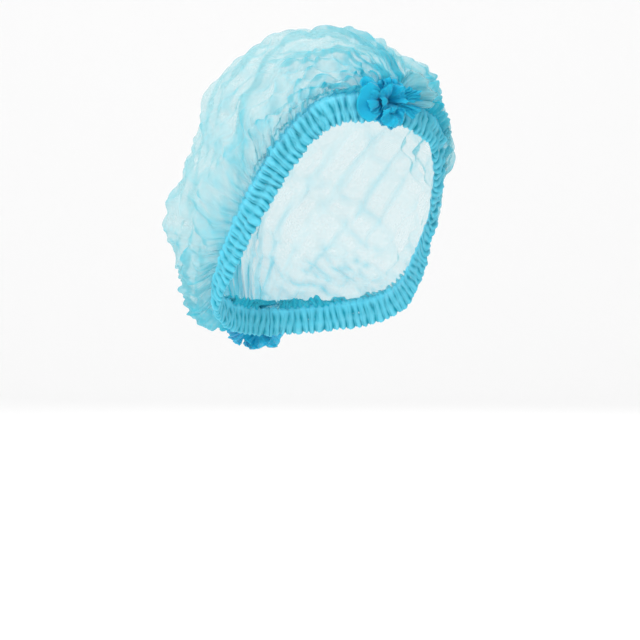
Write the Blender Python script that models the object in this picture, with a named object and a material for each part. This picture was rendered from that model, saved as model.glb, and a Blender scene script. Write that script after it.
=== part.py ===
"""Disposable clip cap of pleated nonwoven, opened out as it is worn.

The cap is one thin sheet. Each long edge is folded over an elastic and gathered into a ruffled hem, and the
two pleated ends are welded into a bunch at the brow and another at the nape. The brow looks along -Y, +Z is
up, and the origin is the seat: the point at the top of the hollow where the crown rests.
"""

import math

import bmesh
import bpy
from mathutils import Vector

# The opening, measured to the middle of the hems
OPENING_WIDTH = 0.138
OPENING_DEPTH = 0.188
BROW_DROP = 0.0535  # the seat down to the hem at the brow
NAPE_DROP = 0.180  # the seat down to the hem at the nape
OPENING_TILT = 0.18  # how much lower the left of the opening's front sits, as a share of the way across

# The crown
CROWN_WIDTH = 0.1765
CROWN_DEPTH = 0.216
CROWN_DROP = 0.188  # the seat down to the lowest cloth
CROWN_RISE = 0.008  # slack cloth above the seat
CLOTH_WALL = 0.001
CROWN_CELLS = 36  # cells across the sheet, each way

# The gathers that climb from the hems, and how far they stand off
GATHERS = 36
GATHER_DEPTH = 0.0016
GATHER_REACH = 0.36  # share of the way up to the top where they fade out

# The hems and the elastics inside them
HEM_WIDTH = 0.018
HEM_THICKNESS = 0.0056
PLEATS_PER_SIDE = 46
PLEAT_DEPTH = 0.0013  # a valley between two pleats lies this much lower
HEM_SIDES = 8
TUNNEL_DIAMETER = 0.0028
ELASTIC_DIAMETER = 0.0018
ELASTIC_SIDES = 6
PLEATS_PER_TUNNEL_RING = 2

# The two bunches of welded pleats
BUNCH_WIDTH = 0.044
BUNCH_HEIGHT = 0.022
BUNCH_OUT = 0.013
BUNCH_PETALS = 14
PETAL_DEPTH = 0.14  # share of a petal's reach that lies between two petals
BUNCH_BACK = 0.0022  # the bunch's back bulges this much towards the hems at its middle
BROW_BUNCH_RAISE = 0.003  # its middle above the middle of the hem
NAPE_BUNCH_RAISE = -0.005
BROW_BUNCH_ASIDE = -0.008  # its middle lies this far from the middle of the brow, on the wearer's right

CLEARANCE = 0.0004  # between neighbours

# A row for each turn from the brow, in degrees, the same on both sides. hem_reach is a share of the opening's
# outline and hem_fall of the way from BROW_DROP to NAPE_DROP. flare is how far the cloth turns out over the
# hem, as a share of HEM_THICKNESS. The other reaches are shares of the crown's outline, and the other drops
# are shares of CROWN_DROP. bag is the lowest hang of the loose cloth, belly its widest, and shoulder where it
# turns over to the top.
SECTIONS = [
    dict(turn=0, hem_reach=1.0, hem_fall=0.0, flare=0.0,
         bag=(0.845, 0.207), belly=(0.845, 0.165), shoulder=(0.68, 0.075)),
    dict(turn=15, hem_reach=1.0, hem_fall=0.023, flare=0.1,
         bag=(0.855, 0.229), belly=(0.875, 0.190), shoulder=(0.67, 0.085)),
    dict(turn=30, hem_reach=1.0, hem_fall=0.086, flare=0.8,
         bag=(0.87, 0.282), belly=(0.92, 0.245), shoulder=(0.67, 0.105)),
    dict(turn=45, hem_reach=1.0, hem_fall=0.255, flare=1.0,
         bag=(0.91, 0.375), belly=(0.97, 0.328), shoulder=(0.68, 0.115)),
    dict(turn=60, hem_reach=1.0, hem_fall=0.464, flare=1.0,
         bag=(0.89, 0.510), belly=(0.95, 0.405), shoulder=(0.69, 0.120)),
    dict(turn=75, hem_reach=1.0, hem_fall=0.652, flare=1.0,
         bag=(0.92, 0.633), belly=(0.98, 0.490), shoulder=(0.69, 0.125)),
    dict(turn=90, hem_reach=0.985, hem_fall=0.81, flare=1.0,
         bag=(0.92, 0.750), belly=(1.0, 0.553), shoulder=(0.70, 0.130)),
    dict(turn=110, hem_reach=0.90, hem_fall=0.91, flare=1.0,
         bag=(0.88, 0.880), belly=(1.01, 0.585), shoulder=(0.705, 0.137)),
    dict(turn=135, hem_reach=0.74, hem_fall=0.964, flare=1.0,
         bag=(0.81, 0.965), belly=(1.01, 0.605), shoulder=(0.71, 0.145)),
    dict(turn=158, hem_reach=0.64, hem_fall=0.99, flare=0.8,
         bag=(0.79, 0.975), belly=(1.0, 0.610), shoulder=(0.71, 0.145)),
    dict(turn=180, hem_reach=0.61, hem_fall=1.0, flare=0.0,
         bag=(0.79, 0.930), belly=(0.99, 0.610), shoulder=(0.71, 0.145)),
]

# Large soft folds and dents. turn is where, in degrees, negative on the wearer's right. climb is the share of
# the way from the hem to the top. The spans are how far each reaches, and height is a share of CROWN_WIDTH.
DENTS = [
    dict(turn=-128, climb=0.23, turn_span=26, climb_span=0.045, height=-0.034),
    dict(turn=140, climb=0.25, turn_span=30, climb_span=0.050, height=-0.030),
    dict(turn=-95, climb=0.20, turn_span=12, climb_span=0.12, height=-0.016),
    dict(turn=-62, climb=0.33, turn_span=7, climb_span=0.16, height=0.015),
    dict(turn=-80, climb=0.36, turn_span=7, climb_span=0.14, height=-0.012),
    dict(turn=24, climb=0.30, turn_span=9, climb_span=0.08, height=0.022),
    dict(turn=42, climb=0.44, turn_span=9, climb_span=0.07, height=-0.024),
    dict(turn=-134, climb=0.42, turn_span=22, climb_span=0.06, height=-0.018),
    dict(turn=-22, climb=0.36, turn_span=9, climb_span=0.07, height=0.022),
    dict(turn=72, climb=0.30, turn_span=9, climb_span=0.16, height=-0.013),
    dict(turn=102, climb=0.38, turn_span=10, climb_span=0.15, height=0.014),
    dict(turn=165, climb=0.40, turn_span=9, climb_span=0.18, height=0.013),
    dict(turn=-165, climb=0.38, turn_span=9, climb_span=0.16, height=0.013),
]

# Pleat creases that run from bunch to bunch over the top. side is the angle from straight up, negative on
# the wearer's right, and height is a share of CROWN_WIDTH.
CREASES = [
    dict(side=-58, width=4.5, height=0.010),
    dict(side=-42, width=4.0, height=0.017),
    dict(side=-24, width=4.0, height=0.012),
    dict(side=-6, width=5.0, height=-0.008),
    dict(side=14, width=4.5, height=0.014),
    dict(side=36, width=5.0, height=0.012),
    dict(side=56, width=4.5, height=-0.010),
]
CREASE_AXIS_DROP = 0.42  # the line that the creases turn about, as a share of CROWN_DROP
CREASE_LENGTH = 0.40  # half the length of a crease, as a share of CROWN_DEPTH

PATH_STEPS = 720  # steps used to measure the length of the hem's loop


def remove_everything():
    for thing in list(bpy.data.objects):
        bpy.data.objects.remove(thing)


def material(name, colour, roughness):
    made = bpy.data.materials.new(name)
    made.use_nodes = True
    shader = made.node_tree.nodes["Principled BSDF"]
    shader.inputs["Base Color"].default_value = (*colour, 1.0)
    shader.inputs["Roughness"].default_value = roughness
    shader.inputs["Metallic"].default_value = 0.0
    return made


def face_outwards(bm):
    """Turns the faces of a closed piece outwards."""
    bmesh.ops.recalc_face_normals(bm, faces=bm.faces)
    if bm.calc_volume(signed=True) < 0:
        bmesh.ops.reverse_faces(bm, faces=bm.faces)


def node(name, bm, finish):
    """Makes the object that stands for one piece."""
    mesh = bpy.data.meshes.new(name)
    bm.to_mesh(mesh)
    bm.free()
    mesh.shade_smooth()
    mesh.set_sharp_from_angle(angle=math.radians(50))
    mesh.materials.append(finish)
    made = bpy.data.objects.new(name, mesh)
    bpy.context.scene.collection.objects.link(made)
    return made


def heading(turn):
    """The level direction at a turn from the brow."""
    return Vector((math.sin(turn), -math.cos(turn), 0.0))


def outline_reach(turn, width, depth):
    """How far an ellipse of that width and depth reaches at a turn from the brow."""
    return 1.0 / math.hypot(math.sin(turn) / (width / 2), math.cos(turn) / (depth / 2))


def between_rows(turn, value_of):
    """A value of SECTIONS at any turn, on a smooth curve that is level at the brow and the nape."""
    degrees = abs(math.degrees(math.atan2(math.sin(turn), math.cos(turn))))
    turns = [row["turn"] for row in SECTIONS]
    values = [value_of(row) for row in SECTIONS]
    last = len(SECTIONS) - 1
    k = max(i for i in range(last) if turns[i] <= degrees)

    def slope(i):
        if i in (0, last):
            return 0.0
        return (values[i + 1] - values[i - 1]) / (turns[i + 1] - turns[i - 1])

    span = turns[k + 1] - turns[k]
    s = (degrees - turns[k]) / span
    return (
        values[k] * (1 + 2 * s) * (1 - s) ** 2
        + values[k + 1] * s * s * (3 - 2 * s)
        + span * slope(k) * s * (1 - s) ** 2
        + span * slope(k + 1) * s * s * (s - 1)
    )


def tilt(point, turn):
    """How far the opening's tilt lowers a point; it fades out towards the nape."""
    return Vector((0, 0, -OPENING_TILT * point.x * (1 + math.cos(turn)) / 2))


def hem_point(turn):
    """The middle of the hem at a turn from the brow."""
    reach = outline_reach(turn, OPENING_WIDTH, OPENING_DEPTH)
    reach *= between_rows(turn, lambda row: row["hem_reach"])
    drop = BROW_DROP + (NAPE_DROP - BROW_DROP) * between_rows(turn, lambda row: row["hem_fall"])
    level = heading(turn) * reach - Vector((0, 0, drop))
    return level + tilt(level, turn)


def hem_frame(turn):
    """(outwards, towards the crown), two unit vectors square to the hem and to each other."""
    step = math.radians(0.5)
    along = (hem_point(turn + step) - hem_point(turn - step)).normalized()
    outwards = heading(turn)
    outwards = (outwards - along * outwards.dot(along)).normalized()
    upwards = outwards.cross(along)
    return outwards, upwards if upwards.z > 0 else -upwards


def measure_hem_loop():
    """The turns of the steps round the opening, each step's share of the loop's length, and that length."""
    turns = [2 * math.pi * i / PATH_STEPS for i in range(PATH_STEPS + 1)]
    points = [hem_point(turn) for turn in turns]
    lengths = [0.0]
    for before, after in zip(points, points[1:]):
        lengths.append(lengths[-1] + (after - before).length)
    return turns, [length / lengths[-1] for length in lengths], lengths[-1]


LOOP_TURNS, LOOP_SHARES, LOOP_LENGTH = measure_hem_loop()


def turn_at(share):
    """The turn from the brow at a share of the hem's loop, evenly spaced along the cloth."""
    share %= 1.0
    k = max(i for i in range(PATH_STEPS) if LOOP_SHARES[i] <= share)
    part = (share - LOOP_SHARES[k]) / (LOOP_SHARES[k + 1] - LOOP_SHARES[k])
    return LOOP_TURNS[k] + part * (LOOP_TURNS[k + 1] - LOOP_TURNS[k])


def crown_profile(turn):
    """The points that the loose cloth passes through, from the hem's upper edge to the top."""
    outwards, upwards = hem_frame(turn)
    rim = hem_point(turn) + upwards * (HEM_WIDTH / 2 + CLEARANCE)
    flare = rim + (upwards * 0.7 + outwards * between_rows(turn, lambda row: row["flare"])) * HEM_THICKNESS
    rim_turn = math.atan2(rim.x, -rim.y)

    def placed(name):
        reach = outline_reach(rim_turn, CROWN_WIDTH, CROWN_DEPTH)
        reach *= between_rows(rim_turn, lambda row: row[name][0])
        drop = between_rows(rim_turn, lambda row: row[name][1]) * CROWN_DROP
        return heading(rim_turn) * reach - Vector((0, 0, drop))

    bag, belly, shoulder = placed("bag"), placed("belly"), placed("shoulder")
    bag += tilt(bag, rim_turn)
    belly += tilt(belly, rim_turn) / 2
    top = Vector((0, 0, CROWN_RISE))
    beyond = Vector((-shoulder.x, -shoulder.y, shoulder.z))
    return [rim, flare, bag, belly, (belly + shoulder) / 2, shoulder, top, beyond]


def along_profile(points, climb):
    """The point at a share of the way up, on a smooth curve through the profile's points."""
    knots = points[:-1]
    steps = [(b - a).length for a, b in zip(knots, knots[1:])]
    target = climb * sum(steps)
    k = 0
    while k < len(steps) - 1 and target > steps[k]:
        target -= steps[k]
        k += 1
    s = min(1.0, target / steps[k])
    a, b = points[k], points[k + 1]
    before = points[k - 1] if k else a - (b - a)
    after = points[k + 2]
    ease_a = (b - before) / (steps[k] + (a - before).length) * steps[k]
    ease_b = (after - a) / (steps[k] + (after - b).length) * steps[k]
    return (
        a * (1 + 2 * s) * (1 - s) ** 2
        + b * s * s * (3 - 2 * s)
        + ease_a * s * (1 - s) ** 2
        + ease_b * s * s * (s - 1)
    )


def bump(distance, span):
    return math.exp(-((distance / span) ** 2))


def turn_apart(a, b):
    """Degrees between two turns, the short way."""
    return (a - b + 180) % 360 - 180


def fold_height(point, turn, climb, share):
    """How far the folds, creases and gathers lift the cloth at a point of the crown."""
    degrees = math.degrees(turn)
    height = 0.0
    for row in DENTS:
        across = bump(turn_apart(degrees, row["turn"]), row["turn_span"])
        height += row["height"] * CROWN_WIDTH * across * bump(climb - row["climb"], row["climb_span"])
    side = math.degrees(math.atan2(point.x, point.z + CREASE_AXIS_DROP * CROWN_DROP))
    fade = bump(point.y, CREASE_LENGTH * CROWN_DEPTH) * min(1.0, climb / 0.5) ** 2
    for row in CREASES:
        height += row["height"] * CROWN_WIDTH * bump(side - row["side"], row["width"]) * fade
    rise = climb / GATHER_REACH
    if rise < 1:
        waves = math.cos(2 * math.pi * GATHERS * share)
        height += GATHER_DEPTH * waves * math.sin(math.pi * rise ** 0.6)
    return height


def ring_share(i, j):
    """Where a corner of the square grid lies on its square ring, as a share of the way round."""
    if abs(i) >= abs(j):
        quarters = j / (2 * i) + (0 if i > 0 else 2)
    else:
        quarters = 1 - i / (2 * j) + (0 if j > 0 else 2)
    return (quarters / 4) % 1.0


def build_crown(finish):
    """A square grid whose rings become the crown's rings, so that all its cells are much the same size."""
    half = CROWN_CELLS // 2
    bm = bmesh.new()
    bmesh.ops.create_grid(bm, x_segments=CROWN_CELLS, y_segments=CROWN_CELLS, size=half)
    places = {}
    for vert in bm.verts:
        i, j = round(vert.co.x), round(vert.co.y)
        ring = max(abs(i), abs(j))
        share = ring_share(i, j) if ring else 0.0
        places[vert] = (share, 1 - ring / half)
    for vert, (share, climb) in places.items():
        profile = crown_profile(turn_at(share))
        vert.co = along_profile(profile, climb)
    bmesh.ops.recalc_face_normals(bm, faces=bm.faces)
    to_hollow = Vector((0, 0, CROWN_DROP / 2))
    if sum(face.normal.dot(face.calc_center_median() + to_hollow) for face in bm.faces) < 0:
        bmesh.ops.reverse_faces(bm, faces=bm.faces)
    bm.normal_update()
    lifts = {}
    for vert, (share, climb) in places.items():
        turn = math.atan2(vert.co.x, -vert.co.y)
        lifts[vert] = vert.normal * fold_height(vert.co, turn, climb, share)
    for vert, lift in lifts.items():
        vert.co += lift
    crown = node("crown", bm, finish)
    wall = crown.modifiers.new("cloth", "SOLIDIFY")
    wall.thickness = CLOTH_WALL
    wall.offset = -1
    return crown


def ring_of(turn, half_width, half_thickness, sides):
    """The corners of a cross-section of the hem, or of what runs in it, at a turn."""
    outwards, upwards = hem_frame(turn)
    middle = hem_point(turn)
    angles = [2 * math.pi * k / sides for k in range(sides)]
    return [
        middle + upwards * half_width * math.cos(angle) + outwards * half_thickness * math.sin(angle)
        for angle in angles
    ]


def add_skin(bm, rings):
    """Joins each ring of corners to the next, and returns the first and the last ring's vertices."""
    made = [[bm.verts.new(corner) for corner in ring] for ring in rings]
    count = len(made[0])
    for near, far in zip(made, made[1:]):
        for k in range(count):
            after = (k + 1) % count
            bm.faces.new((near[k], near[after], far[after], far[k]))
    return made[0], made[-1]


def side_turns(stations, brow_share):
    """Turns from the brow to the nape on one side, evenly spaced, with a clearance at each end."""
    nape_share = LOOP_SHARES[PATH_STEPS // 2]
    margin = CLEARANCE / LOOP_LENGTH / abs(nape_share - brow_share)
    parts = [margin + (1 - 2 * margin) * k / stations for k in range(stations + 1)]
    return [turn_at(brow_share + (nape_share - brow_share) * part) for part in parts]


def build_hem(name, brow_share, finish):
    """One gathered edge: a ruffled, flattened tube with a tunnel for its elastic."""
    bm = bmesh.new()
    turns = side_turns(2 * PLEATS_PER_SIDE, brow_share)
    pleats = []
    for k, turn in enumerate(turns):
        sink = PLEAT_DEPTH * (k % 2)
        pleats.append(ring_of(turn, HEM_WIDTH / 2 - sink, HEM_THICKNESS / 2 - sink / 2, HEM_SIDES))
    outer_ends = add_skin(bm, pleats)
    radius = TUNNEL_DIAMETER / 2
    tunnel_turns = turns[:: 2 * PLEATS_PER_TUNNEL_RING]
    tunnel_ends = add_skin(bm, [ring_of(turn, radius, radius, HEM_SIDES) for turn in tunnel_turns])
    for outer, inner in zip(outer_ends, tunnel_ends):
        for k in range(HEM_SIDES):
            after = (k + 1) % HEM_SIDES
            bm.faces.new((outer[k], outer[after], inner[after], inner[k]))
    face_outwards(bm)
    return node(name, bm, finish)


def build_elastic(name, brow_share, finish):
    """The elastic that gathers one hem, lying in its tunnel."""
    bm = bmesh.new()
    radius = ELASTIC_DIAMETER / 2
    turns = side_turns(2 * PLEATS_PER_SIDE, brow_share)[:: 2 * PLEATS_PER_TUNNEL_RING]
    ends = add_skin(bm, [ring_of(turn, radius, radius, ELASTIC_SIDES) for turn in turns])
    for end in ends:
        bm.faces.new(end)
    face_outwards(bm)
    return node(name, bm, finish)


def build_bunch(name, turn, raise_by, aside, finish):
    """A welded end of the pleated sheet: a rosette of petals that stands off the meeting of the two hems."""
    outwards = heading(turn)
    across = Vector((0, 0, 1)).cross(outwards)
    seat = hem_point(turn) + outwards * (HEM_THICKNESS / 2 + CLEARANCE + BUNCH_BACK)
    seat += Vector((aside, 0, raise_by))
    bm = bmesh.new()
    bmesh.ops.create_uvsphere(bm, u_segments=2 * BUNCH_PETALS, v_segments=10, radius=1.0)
    for vert in bm.verts:
        x, y, out = vert.co
        rim = math.hypot(x, y)
        petal = round((math.degrees(math.atan2(y, x)) % 360) / (180 / BUNCH_PETALS)) % 2
        reach = 1 - PETAL_DEPTH * petal * rim
        depth = out * (BUNCH_OUT if out > 0 else BUNCH_BACK)
        depth *= 1 - 2.2 * PETAL_DEPTH * petal * rim
        vert.co = (
            seat
            + across * x * reach * BUNCH_WIDTH / 2
            + Vector((0, 0, y * reach * BUNCH_HEIGHT / 2))
            + outwards * depth
        )
    face_outwards(bm)
    return node(name, bm, finish)


def main():
    remove_everything()
    thin = material("single_nonwoven", (0.55, 0.86, 0.91), 0.75)
    gathered = material("gathered_nonwoven", (0.16, 0.66, 0.80), 0.75)
    bunched = material("bunched_nonwoven", (0.01, 0.42, 0.66), 0.75)
    rubber = material("elastic_thread", (0.80, 0.84, 0.84), 0.60)
    build_crown(thin)
    for side, brow_share in (("left", 0.0), ("right", 1.0)):
        build_hem(f"{side}_hem", brow_share, gathered)
        build_elastic(f"{side}_elastic", brow_share, rubber)
    build_bunch("brow_bunch", 0.0, BROW_BUNCH_RAISE, BROW_BUNCH_ASIDE, bunched)
    build_bunch("nape_bunch", math.pi, NAPE_BUNCH_RAISE, 0.0, bunched)


main()
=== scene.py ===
# %% [markdown]
# # A disposable clip cap in Blender
#
# The cap is one thin sheet of spunbond nonwoven. The factory pleats it like an accordion, folds both long
# edges over an elastic, and welds the two pleated ends. Pulled open over a head, it puffs out into a
# see-through dome whose folds run from the weld at the brow to the weld at the nape. This lesson dresses
# a plain solid model of that cap with real folds, gathers and a see-through cloth. It starts by loading
# the solid model as the frame.

import math

import bmesh
import bpy
import numpy as np
from mathutils import Matrix, Vector, noise
from mathutils.bvhtree import BVHTree


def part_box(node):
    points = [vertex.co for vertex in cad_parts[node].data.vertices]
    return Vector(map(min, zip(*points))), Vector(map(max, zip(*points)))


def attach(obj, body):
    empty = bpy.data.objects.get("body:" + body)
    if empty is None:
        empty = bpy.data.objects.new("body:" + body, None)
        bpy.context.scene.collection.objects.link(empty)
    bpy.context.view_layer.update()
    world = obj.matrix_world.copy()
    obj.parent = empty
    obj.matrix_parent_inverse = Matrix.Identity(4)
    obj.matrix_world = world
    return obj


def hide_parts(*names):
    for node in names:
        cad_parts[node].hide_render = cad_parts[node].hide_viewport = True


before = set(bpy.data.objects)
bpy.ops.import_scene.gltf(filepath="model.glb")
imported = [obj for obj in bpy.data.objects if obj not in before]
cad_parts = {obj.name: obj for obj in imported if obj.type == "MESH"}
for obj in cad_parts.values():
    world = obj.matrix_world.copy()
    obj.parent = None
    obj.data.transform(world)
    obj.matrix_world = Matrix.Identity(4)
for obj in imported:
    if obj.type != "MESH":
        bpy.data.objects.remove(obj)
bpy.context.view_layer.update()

# %% [markdown]
# ## The camera, the floor and the light
#
# The camera looks level, from the cap's right front, through a long lens, so that the cap is drawn with
# little perspective. The cap is shown at the height at which it is worn, so the floor lies well below it.
# The floor and the wall behind are one curved sweep, as in a studio, so no hard line runs behind the cap.

# %% Camera
SEAT_TO_LENS = Vector((0.0027, -0.0017, -0.179))  # from the seat to the point that the camera looks at
LENS_MM = 100
DISTANCE = 1.14
AZIMUTH = math.radians(-33)

camera = bpy.data.objects.new("camera", bpy.data.cameras.new("camera"))
camera.data.lens = LENS_MM
camera.location = SEAT_TO_LENS + DISTANCE * Vector((math.sin(AZIMUTH), -math.cos(AZIMUTH), 0))
camera.rotation_euler = (math.radians(90), 0, AZIMUTH)
bpy.context.scene.collection.objects.link(camera)
bpy.context.scene.camera = camera
print("camera at", [round(c, 3) for c in camera.location])

# %% Floor and wall
FLOOR_DROP = 0.37  # the seat down to the floor
SWEEP_RADIUS = 1.2
SWEEP_HALF_WIDTH = 6.0
SWEEP_FRONT = 4.0
SWEEP_BACK = 3.0
WALL_HEIGHT = 5.0


def plain_material(name, colour, roughness):
    made = bpy.data.materials.new(name)
    made.use_nodes = True
    shader = made.node_tree.nodes["Principled BSDF"]
    shader.inputs["Base Color"].default_value = (*colour, 1)
    shader.inputs["Roughness"].default_value = roughness
    return made


def only(parts, kind):
    """The points, or the edges, among the parts that a bmesh operator has made."""
    return [part for part in parts if isinstance(part, kind)]


def build_sweep():
    bm = bmesh.new()
    near = bm.verts.new((-SWEEP_HALF_WIDTH, -SWEEP_FRONT, 0))
    far = bm.verts.new((SWEEP_HALF_WIDTH, -SWEEP_FRONT, 0))
    edge = bm.edges.new((near, far))
    step = bmesh.ops.extrude_edge_only(bm, edges=[edge])["geom"]
    bmesh.ops.translate(bm, verts=only(step, bmesh.types.BMVert), vec=(0, SWEEP_FRONT + SWEEP_BACK, 0))
    bend = bmesh.ops.spin(
        bm,
        geom=only(step, bmesh.types.BMEdge),
        cent=(0, SWEEP_BACK, SWEEP_RADIUS),
        axis=(1, 0, 0),
        angle=math.pi / 2,
        steps=16,
    )["geom_last"]
    rise = bmesh.ops.extrude_edge_only(bm, edges=only(bend, bmesh.types.BMEdge))["geom"]
    bmesh.ops.translate(bm, verts=only(rise, bmesh.types.BMVert), vec=(0, 0, WALL_HEIGHT))
    bmesh.ops.remove_doubles(bm, verts=bm.verts, dist=1e-5)
    bmesh.ops.rotate(bm, verts=bm.verts, matrix=Matrix.Rotation(AZIMUTH, 3, "Z"))
    bmesh.ops.translate(bm, verts=bm.verts, vec=(0, 0, -FLOOR_DROP))
    bmesh.ops.recalc_face_normals(bm, faces=bm.faces)
    mesh = bpy.data.meshes.new("sweep")
    bm.to_mesh(mesh)
    bm.free()
    mesh.shade_smooth()
    mesh.materials.append(plain_material("studio_sweep", (0.97, 0.97, 0.97), 0.9))
    made = bpy.data.objects.new("sweep", mesh)
    bpy.context.scene.collection.objects.link(made)
    return made


sweep = build_sweep()
print("sweep:", len(sweep.data.polygons), "faces")

# %% [markdown]
# The light is that of a catalogue picture: a white world all round, a large soft light from the upper
# left for shape, and a weaker one from behind, on the far side. The second one matters more than its
# power suggests, because thin cloth passes light on, and the far folds show through the near ones only
# when they are lit.

# %% Lights and world
CAP_MIDDLE = Vector((0, 0, -0.1))  # what both lights point at
WORLD_STRENGTH = 0.92


def area_light(name, place, size, power):
    light = bpy.data.objects.new(name, bpy.data.lights.new(name, "AREA"))
    light.data.shape = "DISK"
    light.data.size = size
    light.data.energy = power
    light.location = place
    light.rotation_euler = (CAP_MIDDLE - Vector(place)).to_track_quat("-Z", "Y").to_euler()
    bpy.context.scene.collection.objects.link(light)
    return light


for name, place, size, power in (("key", (-1.5, -0.6, 1.5), 0.9, 24), ("back", (1.2, 1.3, 1.2), 1.2, 10)):
    area_light(name, place, size, power)
    print(name, "light:", power, "W from a disk", size, "m across")

world = bpy.data.worlds.new("studio")
bpy.context.scene.world = world
world.use_nodes = True
world.node_tree.nodes["Background"].inputs["Color"].default_value = (1, 1, 1, 1)
world.node_tree.nodes["Background"].inputs["Strength"].default_value = WORLD_STRENGTH
bpy.context.scene.view_settings.view_transform = "Standard"

# %% [markdown]
# ## The line of the hem
#
# Everything on the cap is placed along the hem, which rises over the brow, runs down past the temples and
# round under the nape. It is an ellipse seen from above, with a reach and a fall at each turn from the
# brow. The solid model was built on the same line, so the dressed hem lands on the solid one.

# %% The rows of the hem line
OPENING_WIDTH = 0.138
OPENING_DEPTH = 0.188
BROW_DROP = 0.0535
NAPE_DROP = 0.180
OPENING_TILT = 0.18
HEM_WIDTH = 0.018
HEM_THICKNESS = 0.0056

# turn from the brow in degrees: (share of the ellipse's reach, share of the fall from brow to nape)
HEM_ROWS = {
    0: (1.0, 0.0),
    15: (1.0, 0.023),
    30: (1.0, 0.086),
    45: (1.0, 0.255),
    60: (1.0, 0.464),
    75: (1.0, 0.652),
    90: (0.985, 0.81),
    110: (0.90, 0.91),
    135: (0.74, 0.964),
    158: (0.64, 0.99),
    180: (0.61, 1.0),
}


def between_rows(turn, column):
    """A value of HEM_ROWS at any turn, on a smooth curve that is level at the brow and the nape."""
    degrees = abs(math.degrees(math.atan2(math.sin(turn), math.cos(turn))))
    turns = list(HEM_ROWS)
    values = [row[column] for row in HEM_ROWS.values()]
    last = len(turns) - 1
    k = max(i for i in range(last) if turns[i] <= degrees)

    def slope(i):
        if i in (0, last):
            return 0.0
        return (values[i + 1] - values[i - 1]) / (turns[i + 1] - turns[i - 1])

    span = turns[k + 1] - turns[k]
    s = (degrees - turns[k]) / span
    return (
        values[k] * (1 + 2 * s) * (1 - s) ** 2
        + values[k + 1] * s * s * (3 - 2 * s)
        + span * slope(k) * s * (1 - s) ** 2
        + span * slope(k + 1) * s * s * (s - 1)
    )


print("halfway round the hem has fallen", round(between_rows(math.pi / 2, 1), 2), "of the way to the nape")

# %% [markdown]
# From the rows come two things that every later step asks for: the place of the hem at any turn, and the
# two directions square to it there. One points outwards and one up towards the crown, so a pleat can be
# laid on the hem without thinking about where on the cap it is. The opening also tilts a little to one
# side near the brow, because a worn cap is never quite straight.

# %% Places and directions on the hem
def heading(turn):
    return Vector((math.sin(turn), -math.cos(turn), 0))


def hem_point(turn):
    ellipse = 1 / math.hypot(math.sin(turn) / (OPENING_WIDTH / 2), math.cos(turn) / (OPENING_DEPTH / 2))
    point = heading(turn) * ellipse * between_rows(turn, 0)
    point.z = -BROW_DROP - (NAPE_DROP - BROW_DROP) * between_rows(turn, 1)
    point.z -= OPENING_TILT * point.x * (1 + math.cos(turn)) / 2
    return point


def hem_frame(turn):
    """(outwards, towards the crown), square to the hem."""
    step = math.radians(0.5)
    along = (hem_point(turn + step) - hem_point(turn - step)).normalized()
    outwards = heading(turn)
    outwards = (outwards - along * outwards.dot(along)).normalized()
    upwards = outwards.cross(along)
    return outwards, upwards if upwards.z > 0 else -upwards


for name, turn in (("brow", 0), ("nape", math.pi)):
    print("the hem at the", name, "is at", [round(c, 3) for c in hem_point(turn)])

# %% [markdown]
# Equal turns aren't equal lengths of cloth: the hem is nearly straight at the temple and bends round the
# nape. Pleats have to be even along the cloth, so each side is measured once in small steps, and a share
# from 0 at the brow to 1 at the nape is then looked up as a turn.

# %% Even shares along each side
class Side:
    """One side of the hem line, measured so that a share from brow to nape is even along the cloth."""

    STEPS = 400

    def __init__(self, sign, brow_turn=0.0, nape_turn=math.pi):
        span = nape_turn - brow_turn
        self.turns = [sign * (brow_turn + span * k / self.STEPS) for k in range(self.STEPS + 1)]
        points = [hem_point(turn) for turn in self.turns]
        lengths = [0.0]
        for before, after in zip(points, points[1:]):
            lengths.append(lengths[-1] + (after - before).length)
        self.length = lengths[-1]
        self.shares = [length / self.length for length in lengths]

    def turn_at(self, share):
        return float(np.interp(share, self.shares, self.turns))


right_side, left_side = Side(-1), Side(1)
print("hem:", round(right_side.length, 3), "m on the right,", round(left_side.length, 3), "m on the left")

# %% [markdown]
# ## The crown cloth
#
# A dome could be sculpted, but a real cap's folds come from its pleats: each one starts at the weld on
# the brow, runs back over the head and ends at the weld on the nape. So the cloth is a grid whose long
# lines run from weld to weld and whose short lines run from hem to hem. The grid is laid on the solid
# crown by rays from inside it, then pleated and gathered by lifting its points. A cloth simulation
# crumples it at the end, because no formula gives the small random buckles that nonwoven gets from being
# handled.

# %% Rays onto the solid crown
CELLS_ALONG = 160  # from brow to nape
CELLS_ACROSS = 150  # from hem to hem
INSIDE = Vector((0, 0, -0.090))  # a point in the hollow that sees the whole crown
BUNCH_TURN = math.radians(9)  # the pleats meet within this turn of the brow and the nape
RIM_LIFT = HEM_WIDTH / 2 - 0.0022  # the cloth starts a little inside the hem
INSET = 0.0040  # room that the folds need inside the solid crown's outline
FAR_OUT = 0.4  # where a ray starts, well outside the crown
RIM_BLEND = 0.03  # the share of the width over which the cloth leaves the hem for the crown


def tree_of(node):
    bm = bmesh.new()
    bm.from_mesh(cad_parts[node].data)
    bmesh.ops.remove_doubles(bm, verts=bm.verts, dist=1e-6)
    tree = BVHTree.FromBMesh(bm)
    bm.free()
    return tree


crown_tree = tree_of("crown")


def rim_point(turn):
    _, upwards = hem_frame(turn)
    return hem_point(turn) + upwards * RIM_LIFT


def on_crown(direction):
    """The outermost point of the solid crown in a direction from inside, and None where there is none."""
    far = INSIDE + direction * FAR_OUT
    hit, *_ = crown_tree.ray_cast(far, -direction)
    return hit


print("a ray straight down meets the crown at", [round(c, 3) for c in on_crown(Vector((0, 0, 1)))])

# %% [markdown]
# Each point of the grid has two shares: how far it is from brow to nape, and how far from the right hem
# to the left. The first picks a point on each rim and a direction on the middle line. The second turns
# evenly from one of these directions to the next, and a ray in that direction finds the crown. Close to
# the rim the cloth leaves the crown's surface and runs into the hem.

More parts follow.
